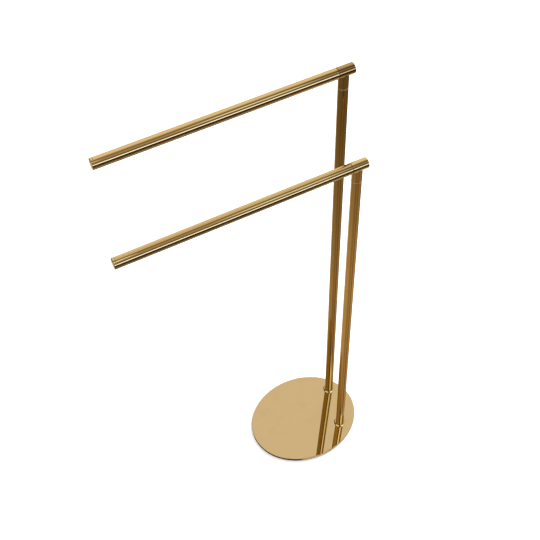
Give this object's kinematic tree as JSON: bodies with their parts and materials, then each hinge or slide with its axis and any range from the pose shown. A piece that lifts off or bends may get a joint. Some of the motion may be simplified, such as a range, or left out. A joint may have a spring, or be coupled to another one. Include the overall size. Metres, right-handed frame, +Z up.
{
  "type": "freestanding towel stand",
  "caption": "Polished gold towel stand: an oval base plate, slim round posts and level towel arms at staggered heights that swivel on the posts.",
  "frame": {"origin": "on the floor, under the centre of the oval base plate", "axes": "+Z up along the posts; -X the way both arms reach at rest; +Y towards the rear post"},
  "size_m": [0.4585, 0.2, 0.964],
  "materials": {
    "polished_gold": "mirror polished",
    "black_rubber": "matt",
    "pale_nylon": "matt",
    "plain_steel": "zinc plated",
    "spring_steel": "blued",
    "bush_brass": "as turned"
  },
  "bodies": {
    "stand": {"base_plate": "polished_gold", "base_pad": "black_rubber", "base_screws": "plain_steel", "rear_collar": "polished_gold", "front_collar": "polished_gold", "rear_foot_plug": "plain_steel", "front_foot_plug": "plain_steel", "rear_post": "polished_gold", "front_post": "polished_gold", "upper_swivel_bush": "bush_brass", "upper_glide_washer": "pale_nylon", "lower_swivel_bush": "bush_brass", "lower_glide_washer": "pale_nylon"},
    "upper_arm": {"upper_neck": "polished_gold", "upper_head": "polished_gold", "upper_arm_tube": "polished_gold", "upper_end_cap": "polished_gold", "upper_swivel_stud": "plain_steel", "upper_spring_washer": "spring_steel", "upper_lock_nut": "plain_steel", "upper_arm_stud": "plain_steel", "upper_arm_plug": "bush_brass"},
    "lower_arm": {"lower_neck": "polished_gold", "lower_head": "polished_gold", "lower_arm_tube": "polished_gold", "lower_end_cap": "polished_gold", "lower_swivel_stud": "plain_steel", "lower_spring_washer": "spring_steel", "lower_lock_nut": "plain_steel", "lower_arm_stud": "plain_steel", "lower_arm_plug": "bush_brass"}
  },
  "joints": [
    {"name": "upper_arm_swivel", "type": "hinge", "parent": "stand", "child": "upper_arm", "pos_m": [0.087, 0.0375, 0.924], "axis": [0, 0, 1], "range_deg": [-90, 90]},
    {"name": "lower_arm_swivel", "type": "hinge", "parent": "stand", "child": "lower_arm", "pos_m": [0.0665, -0.0495, 0.8085], "axis": [0, 0, 1], "range_deg": [-90, 90]}
  ]
}
